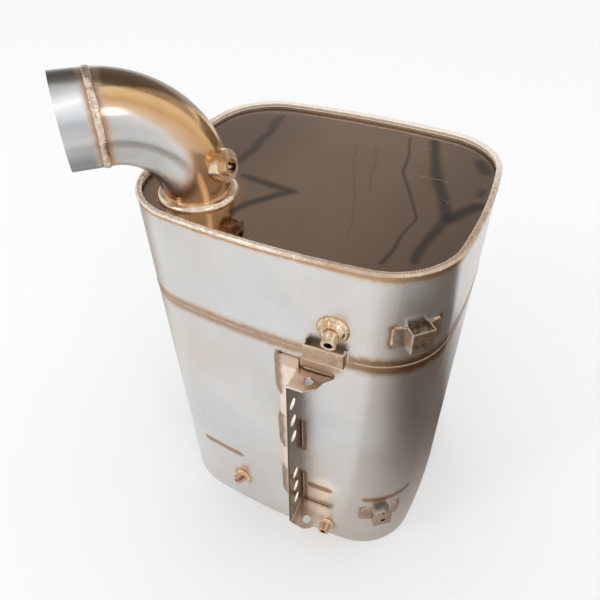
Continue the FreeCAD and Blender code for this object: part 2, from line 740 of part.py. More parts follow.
def make_bracket():
    """One folded sheet: foot, upright web and a shelf at each end."""
    bracket = new_body("mounting_bracket")
    web = new_sketch(bracket, "Web", "YZ_Plane")
    draw_profile(web, (
        ("-slip", "bracket_bottom"),
        ("-slip", BRACKET_TOP),
        ("-web_top_depth", BRACKET_TOP),
        ("-web_bottom_depth", "bracket_bottom"),
    ))
    for step in range(3):
        for height in (f"{BRACKET_TOP} - web_top_hole_gap - {step} * web_hole_pitch",
                       f"bracket_bottom + web_bottom_hole_gap + {step} * web_hole_pitch"):
            draw_circle(web, "-web_hole_depth", height, "web_hole_radius")
    pad(bracket, web, "bracket_wall", reverse=True)

    foot = new_sketch(bracket, "Foot", "XZ_Plane")
    foot.setExpression("AttachmentOffset.Base.z", linked("slip"))
    draw_profile(foot, (
        ("-foot_width", "bracket_bottom"),
        ("0", "bracket_bottom"),
        ("0", f"{BRACKET_TOP} + foot_tab"),
        ("-foot_width", f"{BRACKET_TOP} + foot_tab"),
    ))
    pad(bracket, foot, "bracket_wall")

    upper = new_sketch(bracket, "UpperShelf", height=BRACKET_TOP)
    draw_profile(upper, (
        ("-bracket_wall", "-slip"),
        ("-bracket_wall", "-web_top_depth"),
        ("upper_shelf_length * 0.4", "-web_top_depth"),
        ("upper_shelf_length * 0.68", "-web_top_depth * 0.72"),
        ("upper_shelf_length * 0.8", "-web_top_depth * 0.3"),
        ("upper_shelf_length", "-slip"),
    ))
    draw_circle(upper, "upper_bolt_x", "-upper_bolt_depth", "bolt_hole_radius")
    pad(bracket, upper, "bracket_wall", reverse=True)

    lower = new_sketch(bracket, "LowerShelf", height="bracket_bottom")
    draw_profile(lower, (
        ("-bracket_wall", "-slip"),
        ("-bracket_wall", "-web_bottom_depth"),
        ("0", "-web_bottom_depth"),
        ("lower_shelf_length * 0.4", "-web_bottom_depth - bracket_wall"),
        ("lower_shelf_length * 0.6", "-web_bottom_depth + bracket_wall"),
        ("lower_shelf_length * 0.67", "-web_bottom_depth * 0.76"),
        ("lower_shelf_length", "-web_bottom_depth * 0.25"),
        ("lower_shelf_length", "-slip"),
    ))
    draw_circle(lower, "lower_bolt_x", "-lower_bolt_depth", "bolt_hole_radius")
    pad(bracket, lower, "bracket_wall")
    wall, top, bottom = number("bracket_wall"), number(BRACKET_TOP), number("bracket_bottom")
    round_edges(bracket, "fold_radius", lambda edge: is_along(edge, "z", x=0, y=-number("slip"))
                or is_along(edge, "y", x=-wall, z=top) or is_along(edge, "y", x=-wall, z=bottom))
    keep("mounting_bracket", place(bracket, turn=front_turn("bracket_x"), **on_front("bracket_x")))


def make_strap():
    """A U-shaped strap that stands off the shell across the girth seam."""
    strap = new_body("seam_strap")
    sketch = new_sketch(strap, "Profile")
    half, wall = "strap_length / 2", "strap_wall"
    draw_profile(sketch, (
        (f"-{half}", "-slip"),
        (f"-{half}", "-strap_reach"),
        (half, "-strap_reach"),
        (half, "-slip"),
        (f"{half} - {wall}", "-slip"),
        (f"{half} - {wall}", f"-strap_reach + {wall}"),
        (f"-{half} + {wall}", f"-strap_reach + {wall}"),
        (f"-{half} + {wall}", "-slip"),
    ))
    pad(strap, sketch, "strap_height")
    reach = -number("strap_reach")
    round_edges(strap, "fold_radius", lambda edge: is_along(edge, "z", y=reach))
    where = dict(on_front("strap_x", "seam_bead_height + slip"), z=f"{SEAM} + strap_lift - strap_height / 2")
    keep("seam_strap", place(strap, turn=front_turn("strap_x"), **where))


# ---- hat clips ------------------------------------------------------------

def make_clips():
    corner_x, corner_y = corner_centre()
    for level in ("upper", "lower"):
        label = f"{level}_clip"
        clip = new_body(label)
        sketch = new_sketch(clip, "Profile")
        draw_profile(sketch, clip_profile())
        pad(clip, sketch, "clip_height")
        hole = new_sketch(clip, "Hole", "YZ_Plane")
        draw_circle(hole, "0", "clip_height / 2", "clip_hole_radius")
        pocket(clip, hole, "corner_radius + clip_reach * 2", reverse=True)
        front = number("corner_radius + clip_reach")
        half = number("clip_half_width")
        round_edges(clip, "fold_radius", lambda edge: is_along(edge, "z", x=front, y=half)
                    or is_along(edge, "z", x=front, y=-half))
        angle, middle = f"clip_{level}_angle", CLIP_HEIGHTS[level]
        keep(label, place(clip, str(corner_x), str(corner_y), f"{middle} - clip_height / 2",
                          f"rotationz({angle})"))
        nut = doc.addObject("Part::Prism", "Nut")
        nut.Polygon = 6
        bind(nut, Circumradius="weld_nut_across_flats / sqrt(3)", Height="weld_nut_thickness")
        reach = "(corner_radius + clip_reach - clip_wall - weld_nut_thickness - slip)"
        where = {"x": f"{corner_x} + {reach} * cos({angle})", "y": f"{corner_y} + {reach} * sin({angle})",
                 "z": middle, "turn": f"rotationz({angle}) * rotationy(90)"}
        thread = cylinder("weld_nut_bore_radius", "weld_nut_thickness", **where)
        keep(f"{level}_weld_nut", cut(place(nut, **where), thread))


def clip_profile():
    """The hat section about the corner's centre: foot, leg, front, leg, foot."""
    inside, outside = "(corner_radius + slip)", "(corner_radius + slip + clip_wall)"
    half, wall = "clip_half_width", "clip_wall"
    toe = "(clip_half_width + clip_foot)"
    front = "(corner_radius + clip_reach)"

    def on_arc(radius, y):
        return f"sqrt({radius}^2 - ({y})^2)"

    def side(sign):
        return (f"{sign}({toe})", f"{sign}({half})", f"{sign}({half} - {wall})")

    right_toe, right, right_in = side("")
    left_toe, left, left_in = side("-")
    return (
        (on_arc(inside, toe), left_toe, inside),
        (on_arc(inside, f"{half} - {wall}"), left_in),
        (f"{front} - {wall}", left_in),
        (f"{front} - {wall}", right_in),
        (on_arc(inside, f"{half} - {wall}"), right_in, inside),
        (on_arc(inside, toe), right_toe),
        (on_arc(outside, toe), right_toe, f"-{outside}"),
        (on_arc(outside, half), right),
        (front, right),
        (front, left),
        (on_arc(outside, half), left, f"-{outside}"),
        (on_arc(outside, toe), left_toe),
    )


def check(objects):
    """Stops with a plain message if anything failed to build."""
    failed = [thing.Label for thing in objects
              if {"Invalid", "Error"} & set(thing.State)]
    if failed:
        raise RuntimeError(f"failed: {failed}")
    for label, solid in nodes.items():
        if solid.Shape.isNull() or not solid.Shape.isValid() or not solid.Shape.Solids:
            raise RuntimeError(f"no sound solid in {label}")


make_shells()
make_plates()
make_baffles()
make_canisters()
make_elbow()
make_outlet()
make_bosses()
make_bracket()
make_strap()
make_clips()
doc.recompute()
check(doc.Objects)
os.makedirs("parts", exist_ok=True)
for label, solid in nodes.items():
    solid.Shape.exportStep(f"parts/{label}.step")
    print(f"{label}: {len(solid.Shape.Solids)} solid, {solid.Shape.Volume / 1000:.1f} cm3")
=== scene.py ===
import bpy
import math
import random
from mathutils import Matrix, Vector, noise


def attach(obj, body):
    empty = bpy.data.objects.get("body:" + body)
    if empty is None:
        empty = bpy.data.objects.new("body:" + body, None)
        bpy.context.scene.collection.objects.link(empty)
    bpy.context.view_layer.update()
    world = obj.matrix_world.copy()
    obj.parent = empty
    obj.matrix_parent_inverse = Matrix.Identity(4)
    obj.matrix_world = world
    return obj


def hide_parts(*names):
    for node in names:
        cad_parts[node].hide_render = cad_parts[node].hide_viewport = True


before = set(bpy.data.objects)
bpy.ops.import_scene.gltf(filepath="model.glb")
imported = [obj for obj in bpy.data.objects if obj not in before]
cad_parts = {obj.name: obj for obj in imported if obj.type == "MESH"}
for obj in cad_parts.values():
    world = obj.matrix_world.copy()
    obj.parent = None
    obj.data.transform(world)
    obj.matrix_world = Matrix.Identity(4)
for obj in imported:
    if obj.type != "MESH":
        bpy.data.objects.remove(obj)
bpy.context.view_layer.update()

MM = 0.001

# ---- the body's outline, as in the part's source --------------------------

LENGTH, WIDTH, CORNER, BULGE = 450, 376, 98, 21
FRONT_R = (LENGTH**2 / 4 + BULGE**2) / (2 * BULGE)
END_R = (WIDTH**2 / 4 + BULGE**2) / (2 * BULGE)
FRONT_C = FRONT_R - WIDTH / 2
END_C = END_R - LENGTH / 2
SEAM_Z, SHELL_TOP, PLATE_TOP = 476, 620.5, 614
STITCH_Z = 149


def corner_centre():
    """Centre of the front right corner arc."""
    front, end = FRONT_R - CORNER, END_R - CORNER
    span = math.hypot(FRONT_C, END_C)
    along = (front**2 - end**2 + span**2) / (2 * span)
    across = math.sqrt(front**2 - along**2)
    unit_x, unit_y = -END_C / span, -FRONT_C / span
    return along * unit_x - across * unit_y, FRONT_C + along * unit_y + across * unit_x


CORNER_X, CORNER_Y = corner_centre()


def front_y(x):
    """Where the front wall lies at x."""
    return FRONT_C - math.sqrt(FRONT_R**2 - x**2)


def front_spot(x, z):
    """A point on the front wall, in millimetres, and the wall's outward normal there."""
    lean = math.asin(x / FRONT_R)
    normal = Vector((math.sin(lean), -math.cos(lean), 0))
    return Vector((x, front_y(x), z)), normal


def corner_spot(angle, z):
    """A point on the front right corner at an angle from +X."""
    turn = math.radians(angle)
    normal = Vector((math.cos(turn), math.sin(turn), 0))
    return Vector((CORNER_X, CORNER_Y, z)) + normal * CORNER, normal


def outline(inset, z, step):
    """Points and outward normals round the body, about a step apart."""
    lean_front = math.atan2(CORNER_X, FRONT_C - CORNER_Y)
    lean_end = math.atan2(-CORNER_Y, CORNER_X + END_C)
    spots = []
    for side in range(4):
        middle = (side - 1) * math.pi / 2
        is_front = side % 2 == 0
        radius = (FRONT_R if is_front else END_R) - inset
        reach = FRONT_C if is_front else END_C
        lean, other = (lean_front, lean_end) if is_front else (lean_end, lean_front)
        centre = Vector((-reach * math.cos(middle), -reach * math.sin(middle), z))
        spots += arc_spots(centre, radius, middle - lean, middle + lean, step)
        sign_x, sign_y = ((1, 1), (1, -1), (-1, -1), (-1, 1))[side]
        centre = Vector((sign_x * CORNER_X, sign_y * CORNER_Y, z))
        spots += arc_spots(centre, CORNER - inset, middle + lean, middle + math.pi / 2 - other, step)
    return spots


def arc_spots(centre, radius, start, end, step):
    count = max(2, round(abs(end - start) * radius / step))
    spots = []
    for index in range(count):
        turn = start + (end - start) * index / count
        normal = Vector((math.cos(turn), math.sin(turn), 0))
        spots.append((centre + normal * radius, normal))
    return spots


# ---- the elbow ------------------------------------------------------------

HEADING = math.radians(227.2)
BEND_R, MOUTH_R, BEND = 103, 54, 88
ROOT = Vector((-130, -105.5, 611.5))
RISE = 16.5
CREST, FOLD, BAND_TURN = math.radians(150), 2.4, math.radians(46)
AHEAD = Vector((math.cos(HEADING), math.sin(HEADING), 0))
BESIDE = Vector((-AHEAD.y, AHEAD.x, 0))
OUTLET = Vector((60, 188, 550))


def bend_spot(degrees):
    """A point on the elbow's centre line, and the direction of the pipe there."""
    turn = math.radians(degrees)
    reach = BEND_R - BEND_R * math.cos(turn)
    rise = RISE + BEND_R * math.sin(turn)
    along = AHEAD * math.sin(turn) + Vector((0, 0, math.cos(turn)))
    return ROOT + AHEAD * reach + Vector((0, 0, rise)), along


# ---- meshes ---------------------------------------------------------------

def new_object(name, points, faces, material):
    """Makes a mesh object from points in metres."""
    mesh = bpy.data.meshes.new(name)
    mesh.from_pydata(points, [], faces)
    mesh.update()
    mesh.materials.append(material)
    thing = bpy.data.objects.new(name, mesh)
    bpy.context.scene.collection.objects.link(thing)
    return thing


# A bead's points round it, the steps between its rings in millimetres, how deep its ripples are,
# how much its width and height wander and over what length, and its share of size at an open end.
AROUND, RING_STEP, LINE_STEP = 10, 1.0, 0.8
RIPPLE, WIDTH_WANDER, HEIGHT_WANDER, WANDER_LENGTH, TIP = 0.28, 0.10, 0.12, 9, 0.35


def weld_bead(name, spots, width, height, pitch, material, seed, closed=True, crescent=0.5):
    """A rippled weld bead that follows spots (point, outward normal) on the metal."""
    rng = random.Random(seed)
    points, faces = [], []
    count = len(spots)
    travelled = 0.0
    drift = rng.uniform(0, 50)
    for index, (point, normal) in enumerate(spots):
        before = spots[index - 1][0] if index or closed else point
        after = spots[(index + 1) % count][0] if index < count - 1 or closed else point
        along = (after - before).normalized()
        side = along.cross(normal).normalized()
        out = side.cross(along).normalized()
        if index:
            travelled += (point - spots[index - 1][0]).length
        wobble = noise.noise(Vector((travelled / WANDER_LENGTH, drift, seed)))
        fade = 1.0
        if not closed:
            ends = min(index, count - 1 - index) / max(1, count / 10)
            fade = TIP + (1 - TIP) * min(1.0, ends)
        for step in range(AROUND):
            turn = 2 * math.pi * step / AROUND
            bulge = math.sin(turn)
            phase = (travelled + crescent * width * bulge**2 * (1 if bulge > 0 else 0)) / pitch
            saw = phase - math.floor(phase)
            ripple = 1 - RIPPLE * saw
            across = side * math.cos(turn) * width / 2 * fade * (1 + WIDTH_WANDER * wobble)
            up = out * bulge * height * fade * (ripple + HEIGHT_WANDER * wobble)
            points.append(point + across + up)
    rings = count if closed else count - 1
    for index in range(rings):
        low, high = index * AROUND, (index + 1) % count * AROUND
        for step in range(AROUND):
            nxt = (step + 1) % AROUND
            faces.append((low + step, high + step, high + nxt, low + nxt))
    if not closed:
        faces.append(tuple(range(AROUND)))
        faces.append(tuple(reversed(range((count - 1) * AROUND, count * AROUND))))
    piece = new_object(name, [tuple(point * MM) for point in points], faces, material)
    for polygon in piece.data.polygons:
        polygon.use_smooth = True
    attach(piece, "root")
    return piece


def circle_spots(centre, axis, radius, lean=0.0):
    """Spots round a pipe; lean tips the normal towards the axis."""
    axis = axis.normalized()
    first = axis.orthogonal().normalized()
    second = axis.cross(first)
    count = max(12, round(2 * math.pi * radius / RING_STEP))
    spots = []
    for index in range(count):
        turn = 2 * math.pi * index / count
        radial = first * math.cos(turn) + second * math.sin(turn)
        spots.append((centre + radial * radius, radial * math.cos(lean) + axis * math.sin(lean)))
    return spots


def line_spots(start, end, normal):
    count = max(4, round((end - start).length / LINE_STEP))
    return [(start.lerp(end, index / count), normal) for index in range(count + 1)]


# ---- shader building ------------------------------------------------------

# A mix node's inputs for its factor and its two colours, and its output for the mixed colour.
MIX_FACTOR, MIX_FIRST, MIX_SECOND, MIX_RESULT = 0, 6, 7, 2


def feed(tree, socket, value):
    """Links a socket to another node's socket, or gives it a plain value."""
    if isinstance(value, bpy.types.NodeSocket):
        tree.links.new(value, socket)
    else:
        socket.default_value = value


def add(tree, kind, props=None, **sockets):
    """Adds a node and feeds its sockets; a name's underscores stand for spaces."""
    node = tree.nodes.new(kind)
    for name, value in (props or {}).items():
        setattr(node, name, value)
    for name, value in sockets.items():
        feed(tree, node.inputs[name.replace("_", " ")], value)
    return node


def calc(tree, operation, first, second=None, clamp=False):
    node = add(tree, "ShaderNodeMath", {"operation": operation, "use_clamp": clamp})
    feed(tree, node.inputs[0], first)
    if second is not None:
        feed(tree, node.inputs[1], second)
    return node.outputs[0]


def vector_calc(tree, operation, first, second, result="Vector"):
    node = add(tree, "ShaderNodeVectorMath", {"operation": operation})
    feed(tree, node.inputs[0], first)
    feed(tree, node.inputs[1], second)
    return node.outputs[result]


def coordinate(tree, place, axis):
    """One coordinate of a vector: 0 across, 1 to the back, 2 up."""
    return add(tree, "ShaderNodeSeparateXYZ", Vector=place).outputs[axis]


def ease(tree, value, start, end, low=0.0, high=1.0, kind="SMOOTHSTEP"):
    """Goes from low to high while value goes from start to end."""
    return add(tree, "ShaderNodeMapRange", {"interpolation_type": kind}, Value=value, From_Min=start,
               From_Max=end, To_Min=low, To_Max=high).outputs[0]


def blend(tree, factor, first, second, mode="MIX"):
    node = add(tree, "ShaderNodeMix", {"data_type": "RGBA", "blend_type": mode})
    for index, value in ((MIX_FACTOR, factor), (MIX_FIRST, first), (MIX_SECOND, second)):
        feed(tree, node.inputs[index], value)
    return node.outputs[MIX_RESULT]


def ramp(tree, factor, stops):
    node = tree.nodes.new("ShaderNodeValToRGB")
    tree.links.new(factor, node.inputs[0])
    band = node.color_ramp
    while len(band.elements) < len(stops):
        band.elements.new(0.5)
    for element, (place, colour) in zip(band.elements, stops):
        element.position = place
        element.color = colour
    return node


def new_group(name, inputs, outputs):
    group = bpy.data.node_groups.new(name, "ShaderNodeTree")
    for label, kind in inputs:
        group.interface.new_socket(name=label, in_out="INPUT", socket_type=f"NodeSocket{kind}")
    for label, kind in outputs:
        group.interface.new_socket(name=label, in_out="OUTPUT", socket_type=f"NodeSocket{kind}")
    start = group.nodes.new("NodeGroupInput")
    end = group.nodes.new("NodeGroupOutput")
    return group, start, end


def use(tree, group, **sockets):
    return add(tree, "ShaderNodeGroup", {"node_tree": group}, **sockets)


def make_segment_group():
    """Distance from a point to a straight stretch of weld."""
    inputs = (("Position", "Vector"), ("From", "Vector"), ("To", "Vector"))
    group, start, end = new_group("weld_distance", inputs, (("Distance", "Float"),))
    run = vector_calc(group, "SUBTRACT", start.outputs["To"], start.outputs["From"])
    reach = vector_calc(group, "SUBTRACT", start.outputs["Position"], start.outputs["From"])
    share = calc(group, "DIVIDE", vector_calc(group, "DOT_PRODUCT", reach, run, "Value"),
                 vector_calc(group, "DOT_PRODUCT", run, run, "Value"), clamp=True)
    scaled = add(group, "ShaderNodeVectorMath", {"operation": "SCALE"}, Vector=run, Scale=share)
    gap = vector_calc(group, "SUBTRACT", reach, scaled.outputs[0])
    length = add(group, "ShaderNodeVectorMath", {"operation": "LENGTH"}, Vector=gap)
    group.links.new(length.outputs["Value"], end.inputs["Distance"])
    return group


def make_tint_group():
    """Heat colours beside a weld: a brown core, a paler halo, then bare steel."""
    inputs = (("Position", "Vector"), ("Distance", "Float"), ("Reach", "Float"), ("Steel", "Color"),
              ("Core", "Color"), ("Halo", "Color"), ("Strength", "Float"))
    group, start, end = new_group("heat_tint", inputs, (("Color", "Color"),))
    cloud = add(group, "ShaderNodeTexNoise", Vector=start.outputs["Position"], Scale=90.0, Detail=3.0)
    streak = calc(group, "MULTIPLY", calc(group, "SUBTRACT", cloud.outputs[0], 0.5), 0.42)
    share = calc(group, "DIVIDE", start.outputs["Distance"], start.outputs["Reach"])
    near = calc(group, "ADD", share, streak)
    masks = []
    for full, gone in ((0.34, 0.68), (0.50, 1.0)):
        fade = ease(group, near, gone, full)
        masks.append(calc(group, "MULTIPLY", fade, start.outputs["Strength"], clamp=True))
    core, halo = masks
    faint = calc(group, "MULTIPLY", halo, 0.75)
    colour = blend(group, faint, start.outputs["Steel"], start.outputs["Halo"])
    group.links.new(blend(group, core, colour, start.outputs["Core"]), end.inputs["Color"])
    return group


def make_pipe_group():
    """How far round the elbow a point lies, and how far along from the root it is."""
    outputs = (("Turn", "Float"), ("Station", "Float"))
    group, start, end = new_group("round_the_pipe", (("Position", "Vector"),), outputs)
    reach = vector_calc(group, "SUBTRACT", start.outputs["Position"], tuple(ROOT * MM))
    ahead = vector_calc(group, "DOT_PRODUCT", reach, tuple(AHEAD), "Value")
    beside = vector_calc(group, "DOT_PRODUCT", reach, tuple(BESIDE), "Value")
    height = coordinate(group, reach, 2)
    back = calc(group, "MINIMUM", calc(group, "SUBTRACT", ahead, BEND_R * MM), 0.0)
    rise = calc(group, "MAXIMUM", calc(group, "SUBTRACT", height, RISE * MM), 0.0)
    square = calc(group, "ADD", calc(group, "MULTIPLY", back, back), calc(group, "MULTIPLY", rise, rise))
    outward = calc(group, "SUBTRACT", calc(group, "SQRT", square), BEND_R * MM)
    turn = calc(group, "ARCTAN2", outward, beside)
    low = calc(group, "LESS_THAN", turn, -math.pi / 2)
    whole = calc(group, "ADD", turn, calc(group, "MULTIPLY", low, 2 * math.pi))
    # Past the crest the turn runs back, so that the far side repeats colours of the near one.
    past = calc(group, "MAXIMUM", calc(group, "SUBTRACT", whole, CREST), 0.0)
    folded = calc(group, "SUBTRACT", whole, calc(group, "MULTIPLY", past, FOLD))
    station = calc(group, "ARCTAN2", rise, calc(group, "MULTIPLY", back, -1.0))
    group.links.new(folded, end.inputs["Turn"])
    group.links.new(calc(group, "DIVIDE", station, math.pi / 2, clamp=True), end.inputs["Station"])
    return group


def make_grain_group():
    """Rolled steel: fine streaks along one direction over soft cloudy patches."""
    inputs = (("Position", "Vector"), ("Stretch", "Vector"), ("Light", "Color"), ("Dark", "Color"),
              ("Patch", "Float"))
    outputs = (("Color", "Color"), ("Rough", "Float"), ("Height", "Float"))
    group, start, end = new_group("rolled_grain", inputs, outputs)
    stretched = vector_calc(group, "MULTIPLY", start.outputs["Position"], start.outputs["Stretch"])
    streaks = add(group, "ShaderNodeTexNoise", Vector=stretched, Scale=1.0, Detail=4.0, Roughness=0.6)
    patches = add(group, "ShaderNodeTexNoise", Vector=start.outputs["Position"],
                  Scale=start.outputs["Patch"], Detail=3.0, Roughness=0.55, Distortion=0.6)
    cloudy = calc(group, "MULTIPLY", calc(group, "SUBTRACT", patches.outputs[0], 0.5), 2.2)
    spread = calc(group, "ADD", cloudy, 0.5, clamp=True)
    fine = calc(group, "MULTIPLY", calc(group, "SUBTRACT", streaks.outputs[0], 0.5), 0.55)
    share = calc(group, "ADD", spread, fine, clamp=True)
    group.links.new(blend(group, share, start.outputs["Dark"], start.outputs["Light"]), end.inputs["Color"])
    group.links.new(calc(group, "MULTIPLY", share, 0.08), end.inputs["Rough"])
    group.links.new(streaks.outputs[0], end.inputs["Height"])
    return group


SEGMENT = make_segment_group()
TINT = make_tint_group()
GRAIN = make_grain_group()
PIPE = make_pipe_group()


def new_tree(owner):
    """Switches on an owner's node tree and empties it."""
    owner.use_nodes = True
    owner.node_tree.nodes.clear()
    return owner.node_tree


def show(tree, surface, kind="ShaderNodeOutputMaterial"):
    """Ends a tree with its output node."""
    tree.links.new(surface.outputs[0], tree.nodes.new(kind).inputs["Surface"])


def start_material(name):
    material = bpy.data.materials.new(name)
    tree = new_tree(material)
    place = tree.nodes.new("ShaderNodeTexCoord").outputs["Object"]
    return material, tree, place


def end_material(tree, colour, rough, height, bump, depth=0.0002, metallic=1.0):
    """Ends a tree with a steel surface; bump and depth say how strong its relief is."""
    relief = add(tree, "ShaderNodeBump", Strength=bump, Distance=depth, Height=height)
    shader = add(tree, "ShaderNodeBsdfPrincipled", Base_Color=colour, Roughness=rough, Metallic=metallic,
                 Normal=relief.outputs[0])
    show(tree, shader)


def nearest(tree, place, stretches):
    """The distance to the nearest of several weld stretches, given in millimetres."""
    best = None
    for start, end in stretches:
        gap = use(tree, SEGMENT, Position=place, From=tuple(start * MM), To=tuple(end * MM)).outputs[0]
        best = gap if best is None else calc(tree, "MINIMUM", best, gap)
    return best


def rgb(red, green, blue):
    return (red, green, blue, 1.0)


# ---- welds that leave heat tint on the shell ------------------------------

BRACKET_X, FOOT_X, STRAP_X = 54, 24, 90
WEB_LOW, WEB_HIGH, WEB_STANDS_OFF, HOLE_REACH = 101.5, 436.5, 4.5, 34
FOOT_STITCHES = ((378, 455), (245, 322), (101, 177))
WEB_STITCHES = ((250, 318), (110, 179))
CLIPS = (("upper", -45.0, 529.0), ("lower", -51.0, 106.0))
CHAMBER_BOSS, LEFT_BOSS, RIGHT_BOSS = (98.5, 524.5), (-66, 79), (97.5, 36)


def wall_stretch(x_from, z_from, x_to, z_to):
    return front_spot(x_from, z_from)[0], front_spot(x_to, z_to)[0]


def foot_stretches():
    return [wall_stretch(FOOT_X, low, FOOT_X, high) for low, high in FOOT_STITCHES]


def web_stretches():
    return [wall_stretch(BRACKET_X + 3, low, BRACKET_X + 3, high) for low, high in WEB_STITCHES]


def shelf_stretches():
    return [wall_stretch(BRACKET_X + 4, 441, BRACKET_X + 44, 441),
            wall_stretch(BRACKET_X + 4, 97, BRACKET_X + 50, 97)]


def baffle_stretches():
    runs = [wall_stretch(-136, STITCH_Z, -67, STITCH_Z), wall_stretch(69, STITCH_Z, 99, STITCH_Z)]
    for angle in (-66, -44):
        runs.append((corner_spot(angle, STITCH_Z)[0], corner_spot(angle + 22, STITCH_Z)[0]))
    return runs


def boss_stretches():
    spots = [front_spot(x, z)[0] for x, z in (CHAMBER_BOSS, LEFT_BOSS, RIGHT_BOSS)]
    return [(spot, spot + Vector((0, 0, 1))) for spot in spots]


def clip_stretches():
    runs = []
    for _, angle, z in CLIPS:
        for side in (-1, 1):
            edge = angle + side * 17
            runs.append((corner_spot(edge, z - 13)[0], corner_spot(edge, z + 13)[0]))
    return runs


STRAW_CORE, STRAW_HALO = rgb(0.43, 0.295, 0.205), rgb(0.60, 0.475, 0.38)
BROWN_CORE, BROWN_HALO = rgb(0.34, 0.235, 0.168), rgb(0.54, 0.44, 0.35)
ROSE_CORE, ROSE_HALO = rgb(0.50, 0.37, 0.285), rgb(0.62, 0.50, 0.41)
AMBER_CORE, AMBER_HALO = rgb(0.50, 0.36, 0.22), rgb(0.72, 0.62, 0.50)
RING_CORE, RING_HALO = rgb(0.42, 0.26, 0.165), rgb(0.58, 0.46, 0.36)
PEACH = rgb(1.0, 0.90, 0.79)
# How closely the grain's streaks lie across, to the back and up, where nothing else is said.
STREAKS = (300.0, 300.0, 60.0)


def tinted(tree, place, colour, zones):
    """Lays heat tint round welds; each zone is (distance, reach, strength, core, halo)."""
    for distance, reach, strength, core, halo in zones:
        node = use(tree, TINT, Position=place, Distance=distance, Reach=reach, Strength=strength,
                   Steel=colour, Core=core, Halo=halo)
        colour = node.outputs["Color"]
    return colour


def make_shell_material():
    material, tree, place = start_material("satin_shell_steel")
    grain = use(tree, GRAIN, Position=place, Stretch=(420.0, 420.0, 9.0), Light=rgb(0.72, 0.71, 0.70),
                Dark=rgb(0.63, 0.60, 0.57), Patch=7.0)
    cloud = add(tree, "ShaderNodeTexNoise", Vector=place, Scale=5.0, Detail=2.0, Distortion=0.4)
    sheen = ramp(tree, cloud.outputs[0], (
        (0.30, rgb(0.93, 0.97, 1.0)),
        (0.50, rgb(1.0, 1.0, 1.0)),
        (0.72, rgb(1.0, 0.95, 0.90)),
    ))
    colour = blend(tree, 1.0, grain.outputs["Color"], sheen.outputs["Color"], "MULTIPLY")
    across, height = coordinate(tree, place, 0), coordinate(tree, place, 2)
    # Seam and rim are tinted wider and browner towards the right end.
    browner = ease(tree, across, 0.08, 0.15, kind="LINEAR")
    seam = calc(tree, "ABSOLUTE", calc(tree, "SUBTRACT", height, (SEAM_Z - 1) * MM))
    seam_reach = ease(tree, across, 0.06, 0.16, 0.018, 0.023, "LINEAR")
    seam_core = blend(tree, browner, STRAW_CORE, rgb(0.27, 0.165, 0.095))
    seam_halo = blend(tree, browner, STRAW_HALO, rgb(0.46, 0.335, 0.235))
    rim = calc(tree, "ABSOLUTE", calc(tree, "SUBTRACT", height, SHELL_TOP * MM))
    rim_reach = calc(tree, "ADD", calc(tree, "MULTIPLY", browner, 0.006), 0.011)
    pale = nearest(tree, place, [wall_stretch(74, 116, 92, 160)])
    stitches = nearest(tree, place, foot_stretches() + web_stretches())
    # Rose-brown between the strap and the upper shelf: partly heat tint and partly painted shade between the
    # parts.
    tint_and_shade_below_strap = nearest(tree, place, [wall_stretch(66, 457, 100, 457)])
    bosses = calc(tree, "SUBTRACT", nearest(tree, place, boss_stretches()), 0.010)
    colour = tinted(tree, place, colour, (
        (pale, 0.036, 0.8, rgb(0.90, 0.85, 0.79), rgb(0.84, 0.80, 0.75)),
        (seam, seam_reach, 0.95, seam_core, seam_halo),
        (rim, rim_reach, 0.95, rgb(0.46, 0.29, 0.17), rgb(0.68, 0.53, 0.40)),
        (stitches, 0.0095, 0.95, BROWN_CORE, BROWN_HALO),
        (nearest(tree, place, baffle_stretches()), 0.0115, 0.95, BROWN_CORE, STRAW_HALO),
        (nearest(tree, place, shelf_stretches()), 0.010, 0.7, AMBER_CORE, AMBER_HALO),
        (tint_and_shade_below_strap, 0.020, 0.9, ROSE_CORE, ROSE_HALO),
        (bosses, 0.020, 0.8, AMBER_CORE, AMBER_HALO),
        (nearest(tree, place, clip_stretches()), 0.013, 0.85, BROWN_CORE, STRAW_HALO),
    ))
    rough = calc(tree, "ADD", grain.outputs["Rough"], 0.27)
    end_material(tree, colour, rough, grain.outputs["Height"], 0.03)
    return material


# Painted dark reflections in wavy lines on the polish of the top plate: points in millimetres, then width
# and depth of tone.
PAINTED_REFLECTION_LINES = (
    (((80, 150), (100, 50), (150, -50), (140, -150)), 3.5, 0.6),
    (((120, 150), (150, 40), (185, -30)), 11.0, 0.85),
    (((185, -30), (170, -130)), 8.0, 0.75),
    (((185, -35), (215, 10)), 12.0, 0.9),
    (((190, 120), (200, 100)), 12.0, 0.85),
    (((205, 45), (205, 35)), 7.0, 0.7),
    (((-140, 140), (-120, 80), (-120, -10)), 9.0, 0.7),
    (((-95, -45), (-15, -55), (-65, -130)), 9.0, 0.75),
    (((40, 100), (75, -15)), 2.5, 0.22),
    (((10, 95), (90, -125)), 3.0, 0.16),
)
# Fine bright scratches on the same plate, from and to in millimetres.
SCRATCHES = (((110, 50), (160, 50)), ((105, 125), (115, 130)), ((155, 10), (175, 0)))


